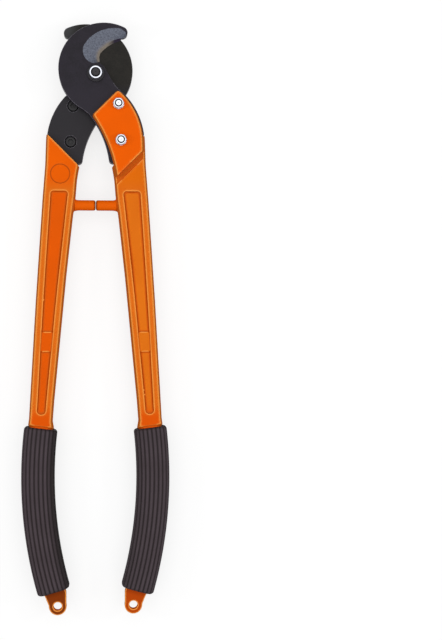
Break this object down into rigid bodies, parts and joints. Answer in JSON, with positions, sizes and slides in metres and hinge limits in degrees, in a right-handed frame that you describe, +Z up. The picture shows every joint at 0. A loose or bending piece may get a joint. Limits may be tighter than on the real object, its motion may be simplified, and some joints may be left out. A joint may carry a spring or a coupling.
{
  "type": "two-hand cable shear",
  "caption": "Long-handled cable shear: two hooked blades cross on one pivot bolt and are screwed to cast handles with ribbed grips and hanging eyes.",
  "frame": {"origin": "centre of the bounding box in plan, on the plane that the tool lies on", "axes": "+Y along the tool from the grips to the blades, +Z up from the side it lies on, along the pivot, +X to the right handle"},
  "size_m": [0.1502, 0.6004, 0.0492],
  "materials": {
    "blade_steel": "hardened steel, blackened, with ground cutting bevels",
    "handle_casting": "cast aluminium with an orange powder coat",
    "grip_rubber": "black ribbed soft plastic sleeve, satin",
    "zinc_hardware": "bright zinc plate",
    "black_screw": "black oxide steel"
  },
  "bodies": {
    "left_half": {"rear_blade": "blade_steel", "pivot_bolt": "black_screw", "pivot_washer": "black_screw", "pivot_nut": "zinc_hardware", "left_handle": "handle_casting", "left_grip": "grip_rubber", "left_upper_screw": "black_screw", "left_lower_screw": "black_screw", "left_upper_washer": "zinc_hardware", "left_lower_washer": "zinc_hardware", "left_upper_nut": "zinc_hardware", "left_lower_nut": "zinc_hardware"},
    "right_half": {"front_blade": "blade_steel", "right_handle": "handle_casting", "right_grip": "grip_rubber", "right_upper_screw": "black_screw", "right_lower_screw": "black_screw", "right_upper_washer": "zinc_hardware", "right_lower_washer": "zinc_hardware", "right_upper_nut": "zinc_hardware", "right_lower_nut": "zinc_hardware"}
  },
  "joints": [
    {"name": "blade_pivot", "type": "hinge", "parent": "left_half", "child": "right_half", "pos_m": [0, 0.24865, 0.0246], "axis": [0, 0, 1], "range_deg": [0, 130]}
  ]
}
